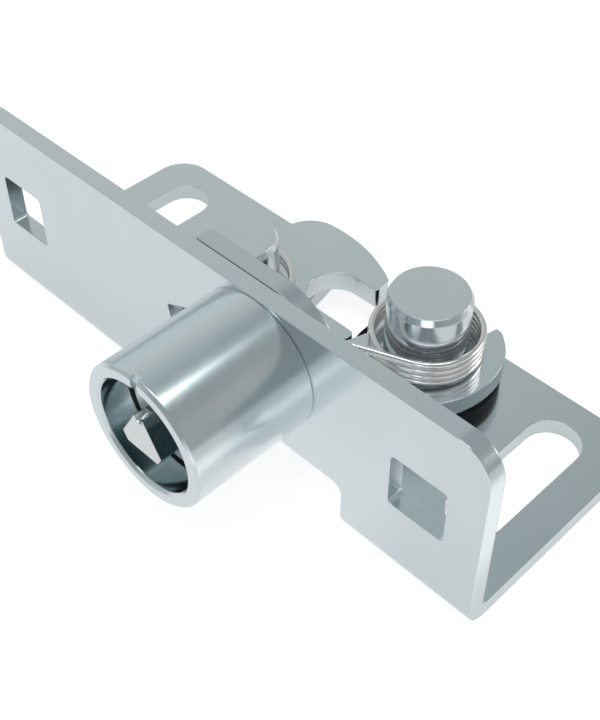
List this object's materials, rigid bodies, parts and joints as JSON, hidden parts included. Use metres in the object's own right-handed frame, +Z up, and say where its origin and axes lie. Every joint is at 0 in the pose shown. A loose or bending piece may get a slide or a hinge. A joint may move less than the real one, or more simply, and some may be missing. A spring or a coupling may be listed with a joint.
{
  "type": "rotary latch",
  "caption": "Bent steel bracket with a spring-loaded claw, the pawl that locks it round a striker, and a key-turned barrel whose cam frees the pawl.",
  "frame": {"origin": "where the barrel's axis meets the front face of the bracket's front plate", "axes": "+X along the bracket to the right as seen from the front, +Y backwards from the front plate over the base, +Z up; the barrel points along -Y"},
  "size_m": [0.114, 0.0679, 0.0376],
  "materials": {
    "zinc_plate": "satin zinc plating, faintly blue",
    "zinc_plate_dark": "satin zinc plating",
    "barrel_chrome": "bright plating",
    "plug_zinc": "satin die casting, faintly purple",
    "bright_zinc": "bright zinc plating",
    "zinc_lever": "satin zinc plating",
    "turned_steel": "polished turned steel",
    "bronze": "plain bearing bronze",
    "black_rubber": "matt",
    "black_plastic": "moulded, satin",
    "spring_steel": "plain spring steel",
    "stainless_wire": "drawn stainless wire"
  },
  "bodies": {
    "frame": {"bracket": "zinc_plate", "barrel": "barrel_chrome", "plug_bush": "bronze", "claw_pin": "turned_steel", "claw_bush": "bronze", "claw_washer": "black_plastic", "claw_spring": "stainless_wire", "pawl_pin": "turned_steel", "pawl_bush": "bronze", "pawl_washer": "black_plastic", "pawl_spring": "stainless_wire"},
    "key": {"key_plug": "plug_zinc", "dust_ring": "black_rubber", "plug_o_ring": "black_rubber", "cam": "zinc_plate_dark", "cam_washer": "bright_zinc", "cam_lock_washer": "spring_steel", "cam_screw": "bright_zinc"},
    "pawl": {"pawl": "zinc_lever"},
    "claw": {"claw": "zinc_lever"}
  },
  "joints": [
    {"name": "key_turn", "type": "hinge", "parent": "frame", "child": "key", "pos_m": [0, 0, 0], "axis": [0, -1, 0], "range_deg": [0, 22], "stiffness_Nm_per_rad": 0.08, "springref_deg": -22.92},
    {"name": "pawl_swing", "type": "hinge", "parent": "frame", "child": "pawl", "pos_m": [0.0067, 0.0324, -0.018], "axis": [0, 0, 1], "range_deg": [0, 19], "deforming": ["pawl_spring"]},
    {"name": "claw_swing", "type": "hinge", "parent": "frame", "child": "claw", "pos_m": [-0.0263, 0.0203, -0.018], "axis": [0, 0, 1], "range_deg": [0, 60], "deforming": ["claw_spring"]}
  ],
  "couplings": [
    {"joint": "pawl_swing", "follows": "key_turn", "ratio": 0.85},
    {"joint": "claw_swing", "follows": "key_turn", "ratio": 2.72}
  ]
}
